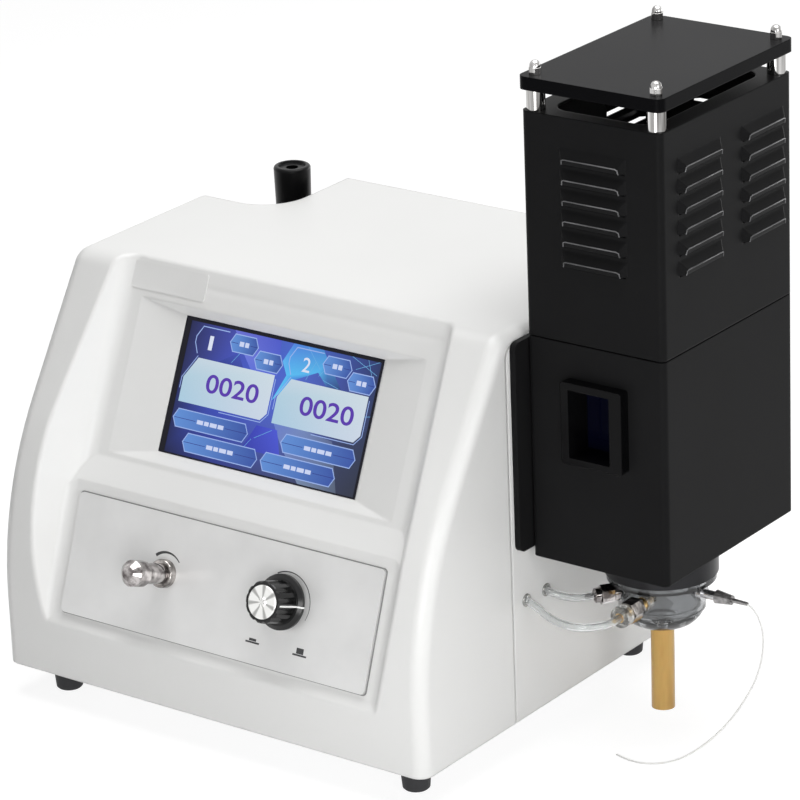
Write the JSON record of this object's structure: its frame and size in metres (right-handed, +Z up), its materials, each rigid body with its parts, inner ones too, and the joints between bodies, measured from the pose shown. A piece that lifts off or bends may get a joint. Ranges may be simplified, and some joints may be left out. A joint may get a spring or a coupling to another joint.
{
  "type": "flame photometer",
  "caption": "Bench flame photometer with a sloped display and knob face, a louvred burner housing with a blue viewing window, and a clear mixing chamber with sample tubing",
  "frame": {"origin": "on the bench, under the centre of the whole object without its free tubes", "axes": "X to the right seen from the front, Y to the rear, Z up"},
  "size_m": [0.4544, 0.3298, 0.4401],
  "materials": {
    "white_shell": "fine satin moulding",
    "base_steel": "plain",
    "black_rubber": "matt",
    "panel_film": "silver satin film",
    "screen_glass": "dark blue display glass",
    "module_metal": "plain",
    "circuit_board": "solder mask",
    "supply_steel": "plain",
    "knob_black": "satin",
    "spun_aluminium": "spun",
    "steel": "turned",
    "brass": "turned",
    "chrome": "polished",
    "zinc_body": "cast",
    "clear_bowl": "clear moulding",
    "housing_paint": "black satin powder coat",
    "blue_glass": "cobalt blue",
    "lens_glass": "clear",
    "red_filter": "interference filter",
    "yellow_filter": "interference filter",
    "heat_steel": "heat tinted",
    "anodised_black": "black anodised",
    "clear_acrylic": "clear",
    "grey_plastic": "moulded",
    "black_plastic": "moulded",
    "clear_tube": "clear hose",
    "white_ptfe": "smooth",
    "amber_rubber": "amber rubber"
  },
  "bodies": {
    "cabinet": {"air_connector": "chrome", "air_inlet": "brass", "air_tube": "clear_tube", "base_plate": "base_steel", "beam_splitter": "lens_glass", "burner_head": "heat_steel", "burner_stem": "steel", "capillary_tube": "white_ptfe", "chamber_collar": "anodised_black", "condenser_lens": "lens_glass", "control_panel": "panel_film", "display_glass": "screen_glass", "display_module": "module_metal", "drain_tube": "amber_rubber", "filter_bowl": "clear_bowl", "fine_adjust_bushing": "chrome", "flame_chimney": "heat_steel", "front_shell": "white_shell", "gas_connector": "brass", "gas_inlet": "brass", "gas_tube": "clear_tube", "gas_union_body": "clear_acrylic", "gas_union_rings": "black_plastic", "gas_valve_body": "brass", "gas_valve_nut": "steel", "igniter": "steel", "lens_barrel": "anodised_black", "lid": "housing_paint", "lid_nuts": "chrome", "lid_standoffs": "chrome", "light_detectors": "anodised_black", "lower_cover": "housing_paint", "main_board": "circuit_board", "mixing_chamber": "clear_acrylic", "nebulizer_body": "steel", "nebulizer_sleeve": "grey_plastic", "needle_valve_body": "brass", "optics_block": "anodised_black", "potassium_filter": "red_filter", "power_inlet": "black_plastic", "power_supply": "supply_steel", "rear_shell": "white_shell", "regulator_body": "zinc_body", "regulator_bracket": "steel", "rubber_feet": "black_rubber", "side_plate": "housing_paint", "sodium_filter": "yellow_filter", "switch_frame": "black_plastic", "upper_cover": "housing_paint", "window_frame": "housing_paint", "window_glass": "blue_glass"},
    "gas_valve_rotor": {"gas_valve_rotor": "brass"},
    "gas_knob_group": {"gas_knob": "knob_black", "gas_knob_cap": "spun_aluminium", "gas_valve_stem": "steel"},
    "fine_adjuster": {"fine_adjust_knob": "chrome"},
    "needle": {"valve_needle": "steel"},
    "regulator_spindle": {"regulator_screw": "steel"},
    "regulator_cap": {"regulator_knob": "knob_black"},
    "switch": {"switch_rocker": "black_plastic"}
  },
  "joints": [
    {"name": "gas_knob_turn", "type": "hinge", "parent": "cabinet", "child": "gas_valve_rotor", "pos_m": [-0.0052, -0.1261, 0.10522], "axis": [0, -0.9367, 0.3502], "range_deg": [-225, 45]},
    {"name": "gas_knob_push", "type": "slide", "parent": "gas_valve_rotor", "child": "gas_knob_group", "axis": [0, 0.9367, -0.3502], "range_m": [0, 0.003], "stiffness_N_per_m": 600, "springref_m": -0.002},
    {"name": "fine_adjust_turn", "type": "hinge", "parent": "cabinet", "child": "fine_adjuster", "pos_m": [-0.0991, -0.12694, 0.10297], "axis": [0, -0.9367, 0.3502], "range_deg": [-1080, 720]},
    {"name": "needle_travel", "type": "slide", "parent": "cabinet", "child": "needle", "axis": [0, -0.9367, 0.3502], "range_m": [-0.0015, 0.001]},
    {"name": "regulator_turn", "type": "hinge", "parent": "cabinet", "child": "regulator_spindle", "pos_m": [-0.178, 0.11594, 0.022], "axis": [0, 0, 1], "range_deg": [-1080, 1080]},
    {"name": "regulator_lift", "type": "slide", "parent": "regulator_spindle", "child": "regulator_cap", "axis": [0, 0, 1], "range_m": [0, 0.003]},
    {"name": "switch_rock", "type": "hinge", "parent": "cabinet", "child": "switch", "pos_m": [-0.056, 0.14394, 0.064], "axis": [0, 0, -1], "range_deg": [0, 20]}
  ],
  "couplings": [
    {"joint": "needle_travel", "follows": "fine_adjust_turn", "m_per_rad": 0.000079577}
  ]
}
